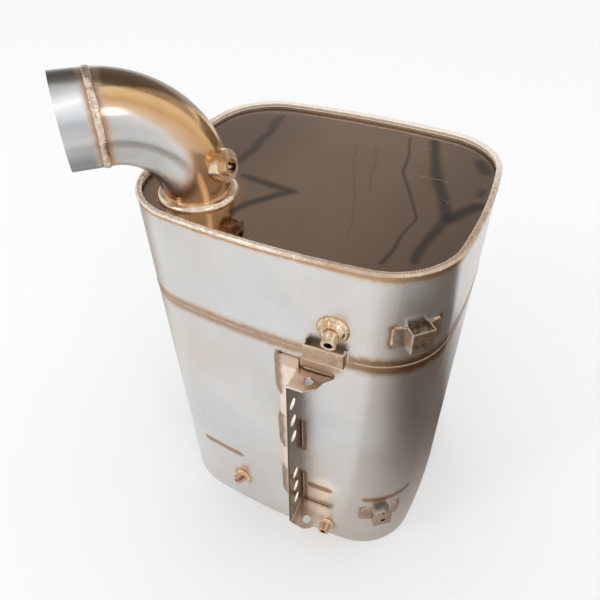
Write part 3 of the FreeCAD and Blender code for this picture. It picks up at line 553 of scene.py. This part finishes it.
def make_plate_material():
    """Mirror-finished plate with painted dark reflections in wavy lines, fine scratches and a pale turned-up
    edge.
    """
    material, tree, place = start_material("mirror_plate_steel")
    warp = add(tree, "ShaderNodeTexNoise", Vector=place, Scale=11.0, Detail=1.0)
    shift = vector_calc(tree, "SUBTRACT", warp.outputs["Color"], (0.5, 0.5, 0.5))
    bent = vector_calc(tree, "ADD", place, vector_calc(tree, "MULTIPLY", shift, (0.030, 0.020, 0.0)))
    tone = add(tree, "ShaderNodeTexNoise", Vector=place, Scale=6.0, Detail=3.0)
    colour = blend(tree, tone.outputs[0], rgb(0.30, 0.222, 0.172), rgb(0.41, 0.31, 0.245))
    across, height = coordinate(tree, place, 0), coordinate(tree, place, 2)
    for middle, end in ((0.08, 0.20), (-0.03, -0.14)):
        shade = ease(tree, across, middle, end, 0.0, 0.6, "LINEAR")
        colour = blend(tree, shade, colour, rgb(0.19, 0.15, 0.128))
    # Painted dark reflections along the wavy lines.
    for points, width, depth in PAINTED_REFLECTION_LINES:
        spots = [Vector((x, y, PLATE_TOP)) for x, y in points]
        gap = nearest(tree, bent, list(zip(spots, spots[1:])))
        painted_reflection = ease(tree, gap, width * 1.25 * MM, width * 0.15 * MM)
        colour = blend(tree, calc(tree, "MULTIPLY", painted_reflection, depth), colour, rgb(0.085, 0.078, 0.075))
    marks = [(Vector((*start, PLATE_TOP)), Vector((*end, PLATE_TOP))) for start, end in SCRATCHES]
    line = ease(tree, nearest(tree, place, marks), 0.0009, 0.0003, 0.0, 0.5, "LINEAR")
    broken = add(tree, "ShaderNodeTexNoise", Vector=place, Scale=180.0)
    line = calc(tree, "MULTIPLY", line, calc(tree, "GREATER_THAN", broken.outputs[0], 0.5))
    colour = blend(tree, line, colour, rgb(0.75, 0.66, 0.58))
    root = calc(tree, "SUBTRACT", nearest(tree, place, [(ROOT, ROOT + Vector((0, 0, 5)))]), 0.050)
    colour = tinted(tree, place, colour, ((root, 0.022, 0.5, rgb(0.46, 0.28, 0.18), rgb(0.40, 0.28, 0.20)),))
    lip = ease(tree, height, (PLATE_TOP + 0.15) * MM, (PLATE_TOP + 1.3) * MM)
    colour = blend(tree, lip, colour, rgb(0.98, 0.85, 0.70))
    drawn_out = vector_calc(tree, "MULTIPLY", place, (700.0, 40.0, 40.0))
    brushing = add(tree, "ShaderNodeTexNoise", Vector=drawn_out, Scale=1.0, Detail=2.0)
    polish = calc(tree, "ADD", calc(tree, "MULTIPLY", brushing.outputs[0], 0.05), 0.045)
    rough = calc(tree, "ADD", polish, calc(tree, "MULTIPLY", lip, 0.35))
    swell = add(tree, "ShaderNodeTexNoise", Vector=place, Scale=5.0, Detail=1.0)
    metallic = calc(tree, "SUBTRACT", 1.0, calc(tree, "MULTIPLY", lip, 0.85))
    end_material(tree, colour, rough, swell.outputs[0], 0.15, 0.003, metallic)
    return material


def ring_tinted(tree, place, colour, centre, axis, reach):
    """Lays heat tint on both sides of a ring weld round a pipe."""
    gap = vector_calc(tree, "SUBTRACT", place, tuple(centre * MM))
    along = calc(tree, "ABSOLUTE", vector_calc(tree, "DOT_PRODUCT", gap, tuple(axis), "Value"))
    return tinted(tree, place, colour, ((along, reach, 0.85, RING_CORE, RING_HALO),))


def make_elbow_material():
    """A straw gold band, partly heat tint and partly painted reflection, that narrows towards the mouth, a
    painted dark reflection above it, bare steel below, and a painted highlight at the root.
    """
    material, tree, place = start_material("heat_tinted_elbow")
    pipe = use(tree, PIPE, Position=place)
    waver = add(tree, "ShaderNodeTexNoise", Vector=place, Scale=12.0, Detail=4.0, Roughness=0.55)
    station = pipe.outputs["Station"]
    # The band is widest at the root and narrows as the way to go shrinks.
    to_go = calc(tree, "SUBTRACT", 1.0, station)
    spread = calc(tree, "ADD", calc(tree, "MULTIPLY", calc(tree, "POWER", to_go, 1.2), 0.75), 0.18)
    spread = calc(tree, "ADD", calc(tree, "POWER", to_go, 8.0), spread)
    shift = calc(tree, "MULTIPLY", calc(tree, "SUBTRACT", waver.outputs[0], 0.5), 0.38)
    turn = calc(tree, "ADD", pipe.outputs["Turn"], shift)
    share = calc(tree, "DIVIDE", calc(tree, "SUBTRACT", turn, BAND_TURN), spread)
    scale = calc(tree, "ADD", calc(tree, "DIVIDE", share, 6.0), 0.5, clamp=True)
    # The ramp runs from bare steel through the gold band, partly heat tint and partly painted reflection, to
    # a painted dark reflection at the top.
    zones = ramp(tree, scale, (
        (0.08, rgb(0.55, 0.55, 0.54)),
        (0.22, rgb(0.64, 0.625, 0.61)),
        (0.29, rgb(0.74, 0.68, 0.65)),
        (0.34, rgb(0.72, 0.52, 0.34)),
        (0.45, rgb(0.62, 0.36, 0.16)),
        (0.52, rgb(0.76, 0.48, 0.23)),
        (0.62, rgb(0.80, 0.55, 0.31)),
        (0.67, rgb(0.28, 0.18, 0.11)),
        (0.85, rgb(0.23, 0.165, 0.12)),
    ))
    # Painted highlight: towards the root the colour is lifted to pale amber over its amber tint.
    root = ease(tree, station, 0.16, 0.02, 0.0, 0.6)
    colour = blend(tree, root, zones.outputs["Color"], rgb(0.93, 0.70, 0.46))
    colour = ring_tinted(tree, place, colour, mouth, mouth_axis, 0.016)
    fine = use(tree, GRAIN, Position=place, Stretch=(70.0, 70.0, 70.0), Light=rgb(1, 1, 1),
               Dark=rgb(0.86, 0.85, 0.84), Patch=26.0)
    colour = blend(tree, 1.0, colour, fine.outputs["Color"], "MULTIPLY")
    rough = calc(tree, "ADD", fine.outputs["Rough"], 0.15)
    end_material(tree, colour, rough, fine.outputs["Height"], 0.04)
    return material


def make_stub_material():
    """Bare drawn pipe with painted reflections running round it in broad pale and dark stripes, and a white
    painted highlight.
    """
    material, tree, place = start_material("bare_drawn_pipe")
    pipe = use(tree, PIPE, Position=place)
    waver = add(tree, "ShaderNodeTexNoise", Vector=place, Scale=25.0, Detail=3.0)
    shift = calc(tree, "MULTIPLY", calc(tree, "SUBTRACT", waver.outputs[0], 0.5), 0.25)
    turn = calc(tree, "ADD", pipe.outputs["Turn"], shift)
    scale = calc(tree, "ADD", calc(tree, "DIVIDE", turn, math.pi), 0.5, clamp=True)
    # Painted reflections: dark at the top, a white painted highlight below it, then grey and blue-grey
    # stripes.
    painted_reflection_bands = ramp(tree, scale, (
        (0.30, rgb(0.24, 0.24, 0.235)),
        (0.39, rgb(0.37, 0.375, 0.37)),
        (0.50, rgb(0.58, 0.575, 0.565)),
        (0.60, rgb(0.46, 0.48, 0.495)),
        (0.665, rgb(0.64, 0.66, 0.68)),
        (0.725, rgb(1.0, 1.0, 1.0)),
        (0.80, rgb(0.60, 0.595, 0.595)),
        (0.95, rgb(0.17, 0.165, 0.155)),
    ))
    colour = ring_tinted(tree, place, painted_reflection_bands.outputs["Color"], mouth, mouth_axis, 0.014)
    end_material(tree, colour, 0.24, waver.outputs[0], 0.04)
    return material


def make_bracket_material():
    """Folded sheet: pale foot and shelves, a web darkened by painted dark reflection, painted shade in the
    upper shelf's crease at the wall, and brown welds along its edges.
    """
    material, tree, place = start_material("folded_bracket_sheet")
    grain = use(tree, GRAIN, Position=place, Stretch=(200.0, 200.0, 40.0), Light=rgb(0.95, 0.82, 0.70),
                Dark=rgb(0.75, 0.61, 0.49), Patch=40.0)
    side_on = tree.nodes["Texture Coordinate"].outputs["Normal"]
    spot, normal = front_spot(BRACKET_X, 0)
    gap = vector_calc(tree, "SUBTRACT", place, tuple(spot * MM))
    depth = vector_calc(tree, "DOT_PRODUCT", gap, tuple(normal), "Value")
    height = coordinate(tree, place, 2)
    above = calc(tree, "GREATER_THAN", height, WEB_LOW * MM)
    below = calc(tree, "LESS_THAN", height, WEB_HIGH * MM)
    # The web is what stands off the wall, or faces sideways close to it.
    facing = calc(tree, "ABSOLUTE", coordinate(tree, side_on, 0))
    proud = calc(tree, "MAXIMUM", calc(tree, "GREATER_THAN", depth, WEB_STANDS_OFF * MM),
                 calc(tree, "GREATER_THAN", facing, 0.8))
    web = calc(tree, "MULTIPLY", calc(tree, "MULTIPLY", above, below), proud)
    # The web's near-black streaky colour is a painted dark reflection.
    drawn_out = vector_calc(tree, "MULTIPLY", place, (150.0, 150.0, 6.0))
    streaks = add(tree, "ShaderNodeTexNoise", Vector=drawn_out, Scale=1.0, Detail=2.0)
    dark = blend(tree, streaks.outputs[0], rgb(0.06, 0.038, 0.025), rgb(0.15, 0.105, 0.072))
    # Near the wall, what doesn't face sideways is the wall of a hole, and bright.
    cut = calc(tree, "MULTIPLY", calc(tree, "LESS_THAN", facing, 0.7),
               calc(tree, "LESS_THAN", depth, HOLE_REACH * MM))
    dark = blend(tree, cut, dark, rgb(1.0, 0.92, 0.82))
    colour = blend(tree, web, grain.outputs["Color"], dark)
    # Rose-brown where the upper shelf meets the wall: partly heat tint and partly painted shade in the
    # crease.
    at_wall = ease(tree, depth, 0.018, 0.004)
    shelf_crease_shade = calc(tree, "MULTIPLY", calc(tree, "GREATER_THAN", height, WEB_HIGH * MM), at_wall)
    colour = blend(tree, calc(tree, "MULTIPLY", shelf_crease_shade, 0.6), colour, rgb(0.50, 0.34, 0.235))
    foot = nearest(tree, place, foot_stretches())
    others = nearest(tree, place, web_stretches() + shelf_stretches())
    colour = tinted(tree, place, colour, (
        (foot, 0.010, 0.95, BROWN_CORE, BROWN_HALO),
        (others, 0.009, 0.85, rgb(0.22, 0.13, 0.09), BROWN_HALO),
    ))
    rough = calc(tree, "ADD", grain.outputs["Rough"], 0.2)
    end_material(tree, colour, rough, grain.outputs["Height"], 0.05)
    return material


def make_strap_material():
    """Rose-brown sheet with painted highlights along its top and bottom edges."""
    material, tree, place = start_material("rose_brown_strap")
    grain = use(tree, GRAIN, Position=place, Stretch=(150.0, 150.0, 150.0), Light=rgb(0.58, 0.42, 0.29),
                Dark=rgb(0.36, 0.235, 0.165), Patch=60.0)
    height = coordinate(tree, place, 2)
    away = calc(tree, "ABSOLUTE", calc(tree, "SUBTRACT", height, (SEAM_Z + 8) * MM))
    # The pale top and bottom edges are painted highlights.
    edge = ease(tree, away, 0.0105, 0.0122)
    colour = blend(tree, calc(tree, "MULTIPLY", edge, 0.9), grain.outputs["Color"], rgb(0.74, 0.63, 0.50))
    metallic = calc(tree, "SUBTRACT", 1.0, calc(tree, "MULTIPLY", edge, 0.6))
    end_material(tree, colour, 0.3, grain.outputs["Height"], 0.08, metallic=metallic)
    return material


def make_plain_steel(name, light, dark, rough, patch=60.0, stretch=STREAKS, metallic=1.0):
    material, tree, place = start_material(name)
    grain = use(tree, GRAIN, Position=place, Stretch=stretch, Light=light, Dark=dark, Patch=patch)
    roughness = calc(tree, "ADD", grain.outputs["Rough"], rough)
    end_material(tree, grain.outputs["Color"], roughness, grain.outputs["Height"], 0.08, metallic=metallic)
    return material


def make_rim_material():
    """Rim weld: even peach along the back, mottled straw in front and browner at the front right."""
    material, tree, place = start_material("rim_weld_steel")
    grain = use(tree, GRAIN, Position=place, Stretch=STREAKS, Light=PEACH, Dark=rgb(0.62, 0.46, 0.34),
                Patch=110.0)
    across, deep = coordinate(tree, place, 0), coordinate(tree, place, 1)
    back = ease(tree, deep, 0.02, 0.14)
    corner = ease(tree, calc(tree, "SUBTRACT", across, deep), 0.17, 0.30)
    colour = blend(tree, calc(tree, "MULTIPLY", back, 0.85), grain.outputs["Color"], PEACH)
    colour = blend(tree, calc(tree, "MULTIPLY", corner, 0.65), colour, rgb(0.44, 0.29, 0.175))
    roughness = calc(tree, "ADD", grain.outputs["Rough"], 0.22)
    metallic = calc(tree, "SUBTRACT", 0.6, calc(tree, "MULTIPLY", back, 0.4))
    end_material(tree, colour, roughness, grain.outputs["Height"], 0.08, metallic=metallic)
    return material


mouth, mouth_axis = bend_spot(BEND)
SHELL = make_shell_material()
PLATE = make_plate_material()
ELBOW = make_elbow_material()
STUB = make_stub_material()
BRACKET = make_bracket_material()
STRAP = make_strap_material()
RIM = make_rim_material()
OUTLET_PIPE = make_plain_steel("bare_outlet_pipe", rgb(0.62, 0.61, 0.59), rgb(0.50, 0.49, 0.47), 0.2)
BEAD = make_plain_steel("straw_weld_bead", PEACH, rgb(0.66, 0.50, 0.37), 0.2, 120.0, metallic=0.6)
SEAM_BEAD = make_plain_steel("low_straw_bead", rgb(0.62, 0.47, 0.35), rgb(0.42, 0.29, 0.205), 0.3, 90.0)
CLIP_BEAD = make_plain_steel("brown_clip_bead", rgb(0.80, 0.60, 0.42), rgb(0.36, 0.23, 0.15), 0.24, 110.0)
BROWN_BEAD = make_plain_steel("brown_stitch_bead", rgb(0.47, 0.345, 0.26), rgb(0.31, 0.21, 0.15), 0.34,
                              120.0)
GOLD = make_plain_steel("straw_turned_steel", rgb(0.95, 0.80, 0.60), rgb(0.46, 0.29, 0.15), 0.16)
PIPE_BEAD = make_plain_steel("brown_and_straw_bead", rgb(0.92, 0.80, 0.67), rgb(0.40, 0.27, 0.18), 0.24,
                             110.0)
COLLAR = make_plain_steel("straw_root_collar", rgb(0.92, 0.78, 0.62), rgb(0.62, 0.45, 0.30), 0.16, 90.0,
                          (220.0, 220.0, 220.0))
COPPER = make_plain_steel("copper_tinted_steel", rgb(0.80, 0.52, 0.36), rgb(0.58, 0.34, 0.21), 0.18)
CLIP = make_plain_steel("clip_sheet", rgb(0.58, 0.47, 0.38), rgb(0.36, 0.26, 0.20), 0.24, 70.0)
INNER = make_plain_steel("inner_steel", rgb(0.45, 0.41, 0.37), rgb(0.30, 0.26, 0.22), 0.35)


def make_soft_material(name, light, dark, scale):
    material, tree, place = start_material(name)
    fleck = add(tree, "ShaderNodeTexNoise", Vector=place, Scale=scale, Detail=4.0)
    colour = blend(tree, fleck.outputs[0], dark, light)
    end_material(tree, colour, 0.9, fleck.outputs[0], 0.3, 0.0005, 0.0)
    return material


MAT = make_soft_material("fibre_mat", rgb(0.74, 0.72, 0.68), rgb(0.55, 0.52, 0.48), 400.0)
BRICK = make_soft_material("coated_ceramic", rgb(0.62, 0.52, 0.40), rgb(0.42, 0.34, 0.26), 250.0)

NODE_MATERIALS = {
    "main_shell": SHELL, "upper_shell": SHELL, "bottom_plate": PLATE, "top_plate": PLATE,
    "inlet_elbow": ELBOW, "inlet_stub": STUB, "outlet_stub": OUTLET_PIPE,
    "elbow_sensor_boss": GOLD, "chamber_sensor_boss": GOLD,
    "lower_sensor_boss_left": COPPER, "lower_sensor_boss_right": COPPER,
    "mounting_bracket": BRACKET, "seam_strap": STRAP,
    "upper_clip": CLIP, "lower_clip": CLIP, "upper_weld_nut": CLIP, "lower_weld_nut": CLIP,
    "top_rim_weld": RIM, "girth_seam_weld": SEAM_BEAD, "elbow_root_weld": COLLAR,
    "elbow_stub_weld": PIPE_BEAD, "outlet_weld": BEAD,
}
for node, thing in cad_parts.items():
    if node.startswith("mat_"):
        material = MAT
    elif node.startswith("catalyst_brick"):
        material = BRICK
    else:
        material = NODE_MATERIALS.get(node, INNER)
    for index in range(max(1, len(thing.material_slots))):
        if thing.material_slots:
            thing.material_slots[index].material = material
        else:
            thing.data.materials.append(material)


# ---- weld beads -----------------------------------------------------------

def make_beads():
    top = [(point, Vector((0, 0, 1))) for point, _ in outline(3.2, SHELL_TOP - 0.4, RING_STEP)]
    rim = weld_bead("rim_bead", top, 8.6, 3.7, 4.0, RIM, seed=3)
    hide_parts("top_rim_weld")
    seam = weld_bead("seam_bead", outline(0.0, SEAM_Z, RING_STEP), 3.4, 0.6, 5.0, SEAM_BEAD, seed=5)
    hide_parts("girth_seam_weld")
    ring = circle_spots(mouth, mouth_axis, MOUTH_R)
    stub = weld_bead("stub_bead", ring, 9.0, 1.4, 3.5, PIPE_BEAD, seed=7)
    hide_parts("elbow_stub_weld")
    ring = [(Vector((point.x, -front_y(point.x), point.z)), normal)
            for point, normal in circle_spots(OUTLET, Vector((0, 1, 0)), 56, lean=0.8)]
    outlet = weld_bead("outlet_bead", ring, 9.0, 3.6, 4.0, BEAD, seed=11)
    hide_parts("outlet_weld")


def wall_bead(name, start, end, spot, material, width, height, seed):
    """A short bead on the wall between two places; spot turns a place into a point and a normal."""
    (first, normal), (last, _) = spot(*start), spot(*end)
    weld_bead(name, line_spots(first, last, normal), width, height, 3.0, material, seed, closed=False)


def make_stitches():
    x = FOOT_X - 1.5
    for index, (low, high) in enumerate(FOOT_STITCHES):
        wall_bead(f"foot_stitch_{index + 1}", (x, low + 1), (x, high - 1), front_spot, BROWN_BEAD,
                  11.0, 2.6, 20 + index)
    x = BRACKET_X + 2
    for index, (low, high) in enumerate(WEB_STITCHES):
        wall_bead(f"web_stitch_{index + 1}", (x, low), (x, high), front_spot, BROWN_BEAD,
                  4.0, 2.4, 30 + index)
    for name, z, near, far, seed in (("upper", 441.5, 5, 46, 40), ("lower", 101.5, 6, 52, 41)):
        wall_bead(f"{name}_shelf_bead", (BRACKET_X + near, z), (BRACKET_X + far, z), front_spot, BROWN_BEAD,
                  4.0, 2.4, seed)
    for name, side in (("left", -1), ("right", 1)):
        x = STRAP_X + side * 28.5
        wall_bead(f"strap_bead_{name}", (x, 473), (x, 495), front_spot, BEAD, 3.4, 1.8, 50 + side)
    wall_bead("strap_lower_bead", (62, 471), (106, 470), front_spot, BEAD, 3.0, 1.6, 55)
    for name, angle, z in CLIPS:
        left, right = angle - 17.5, angle + 17.5
        for part, start, end, material in (
                ("left_edge", (left, z - 14), (left, z + 14), CLIP_BEAD),
                ("left_top", (left, z + 15), (left + 6, z + 15), CLIP_BEAD),
                ("left_foot", (left, z - 15), (left + 6, z - 15), CLIP_BEAD),
                ("right_edge", (right, z - 13), (right, z + 13), SEAM_BEAD),
                ("right_top", (right, z + 14), (right - 6, z + 15), SEAM_BEAD)):
            wall_bead(f"{name}_clip_{part}", start, end, corner_spot, material,
                      5.2, 2.4, round(z) + len(part))
    rings = (
        ("chamber_boss_root", CHAMBER_BOSS, 17.0, 0.0, 8.0, 4.5),
        ("chamber_boss_neck", CHAMBER_BOSS, 11.0, 6.6, 4.4, 2.6),
        ("left_boss_root", LEFT_BOSS, 11.5, 0.0, 5.5, 2.6),
        ("right_boss_root", RIGHT_BOSS, 11.5, 0.0, 5.5, 2.6),
    )
    for name, (x, z), radius, out, width, height in rings:
        spot, normal = front_spot(x, z)
        ring = [(Vector((point.x, front_y(point.x), point.z)) + normal * out, lean)
                for point, lean in circle_spots(spot, normal, radius, lean=0.8)]
        weld_bead(f"{name}_bead", ring, width, height, 3.4, GOLD, seed=round(x) + round(out), crescent=0.2)


make_beads()
make_stitches()

# ---- studio ---------------------------------------------------------------

FLOOR_REACH, FLAG_LIFT = 30, 0.002


def make_floor():
    material = bpy.data.materials.new("pale_floor")
    tree = new_tree(material)
    show(tree, add(tree, "ShaderNodeBsdfDiffuse", Color=rgb(0.94, 0.94, 0.94)))
    corners = [(x * FLOOR_REACH, y * FLOOR_REACH, 0) for x, y in ((-1, -1), (1, -1), (1, 1), (-1, 1))]
    floor = new_object("floor", corners, [(0, 1, 2, 3)], material)


def low_corners(*places):
    """Corners of a flag that lies just above the floor."""
    return [(x, y, FLAG_LIFT) for x, y in places]


def make_card(name, corners, near, far, edge, reach):
    """A studio flag that only reflections see; its tone goes from near, at an edge, to far."""
    material, tree, place = start_material(name)
    gap = use(tree, SEGMENT, Position=place, From=edge[0], To=edge[1]).outputs[0]
    tone = blend(tree, ease(tree, gap, 0.0, reach), near, far)
    show(tree, add(tree, "ShaderNodeEmission", Color=tone, Strength=1.0))
    card = new_object(name, corners, [tuple(range(len(corners)))], material)
    card.visible_camera = False
    card.visible_diffuse = False
    card.visible_shadow = False
    card.visible_transmission = False
    card.visible_volume_scatter = False


def make_lamp(name, place, target, size, power):
    data = bpy.data.lights.new(name, "AREA")
    data.shape = "RECTANGLE"
    data.size, data.size_y = size
    data.energy = power
    lamp = bpy.data.objects.new(name, data)
    lamp.location = place
    lamp.rotation_euler = (Vector(target) - Vector(place)).to_track_quat("-Z", "Y").to_euler()
    bpy.context.scene.collection.objects.link(lamp)


def make_world():
    world = bpy.data.worlds.new("studio")
    bpy.context.scene.world = world
    tree = new_tree(world)
    sky = add(tree, "ShaderNodeBackground", Color=rgb(1.0, 1.0, 1.0), Strength=1.0)
    show(tree, sky, "ShaderNodeOutputWorld")


make_floor()
make_world()
high = [(-2.6, 0.9, 1.2), (1.4, 1.9, 1.2), (0.9, 1.2, 4.0), (-3.0, 0.3, 4.0)]
make_card("high_flag", high, rgb(0.46, 0.42, 0.385), rgb(0.34, 0.31, 0.285), high[:2], 1.5)
right = low_corners((0.10, -0.19), (0.36, -0.86), (0.62, -0.80), (0.95, -0.58), (1.25, -0.2), (1.3, 0.6),
                    (0.4, 0.45), (0.2, 0.14))
make_card("right_flag", right, rgb(0.66, 0.615, 0.57), rgb(0.13, 0.103, 0.083),
          low_corners((0.10, -0.19), (0.50, -1.0)), 0.40)
back = [(0.1, 2.4, 0.0), (1.8, 2.0, 0.0), (1.8, 2.0, 1.1), (0.1, 2.4, 1.1)]
make_card("back_flag", back, rgb(0.20, 0.165, 0.14), rgb(0.20, 0.165, 0.14), back[:2], 1.0)
left = low_corners((-0.21, -0.06), (-1.4, -0.35), (-1.6, 0.5), (-0.2, 0.3))
make_card("left_flag", left, rgb(0.85, 0.83, 0.80), rgb(0.50, 0.45, 0.40), left[:2], 0.3)
make_lamp("key", (-1.6, -2.2, 2.6), (0, 0, 0.35), (0.6, 0.6), 8)
make_lamp("fill", (2.2, -1.4, 2.4), (0, 0, 0.3), (0.8, 0.8), 4)

# ---- camera ---------------------------------------------------------------

YAW, PITCH, ROLL = 0.4673, 0.7390, 0.0228
CAMERA_PLACE = (0.2721, -0.6131, 0.9943)
SENSOR, LENS = 36, 33.22


def make_camera():
    level = Vector((-math.sin(YAW), math.cos(YAW), 0))
    forward = level * math.cos(PITCH) - Vector((0, 0, math.sin(PITCH)))
    right = Vector((math.cos(YAW), math.sin(YAW), 0))
    down = forward.cross(right)
    rolled_right = right * math.cos(ROLL) + down * math.sin(ROLL)
    rolled_down = down * math.cos(ROLL) - right * math.sin(ROLL)
    data = bpy.data.cameras.new("camera")
    data.sensor_width = SENSOR
    data.lens = LENS
    data.clip_start = 0.01
    camera = bpy.data.objects.new("camera", data)
    turn = Matrix((rolled_right, -rolled_down, -forward)).transposed()
    camera.matrix_world = Matrix.Translation(CAMERA_PLACE) @ turn.to_4x4()
    bpy.context.scene.collection.objects.link(camera)
    bpy.context.scene.camera = camera


make_camera()
bpy.context.scene.view_settings.view_transform = "Standard"
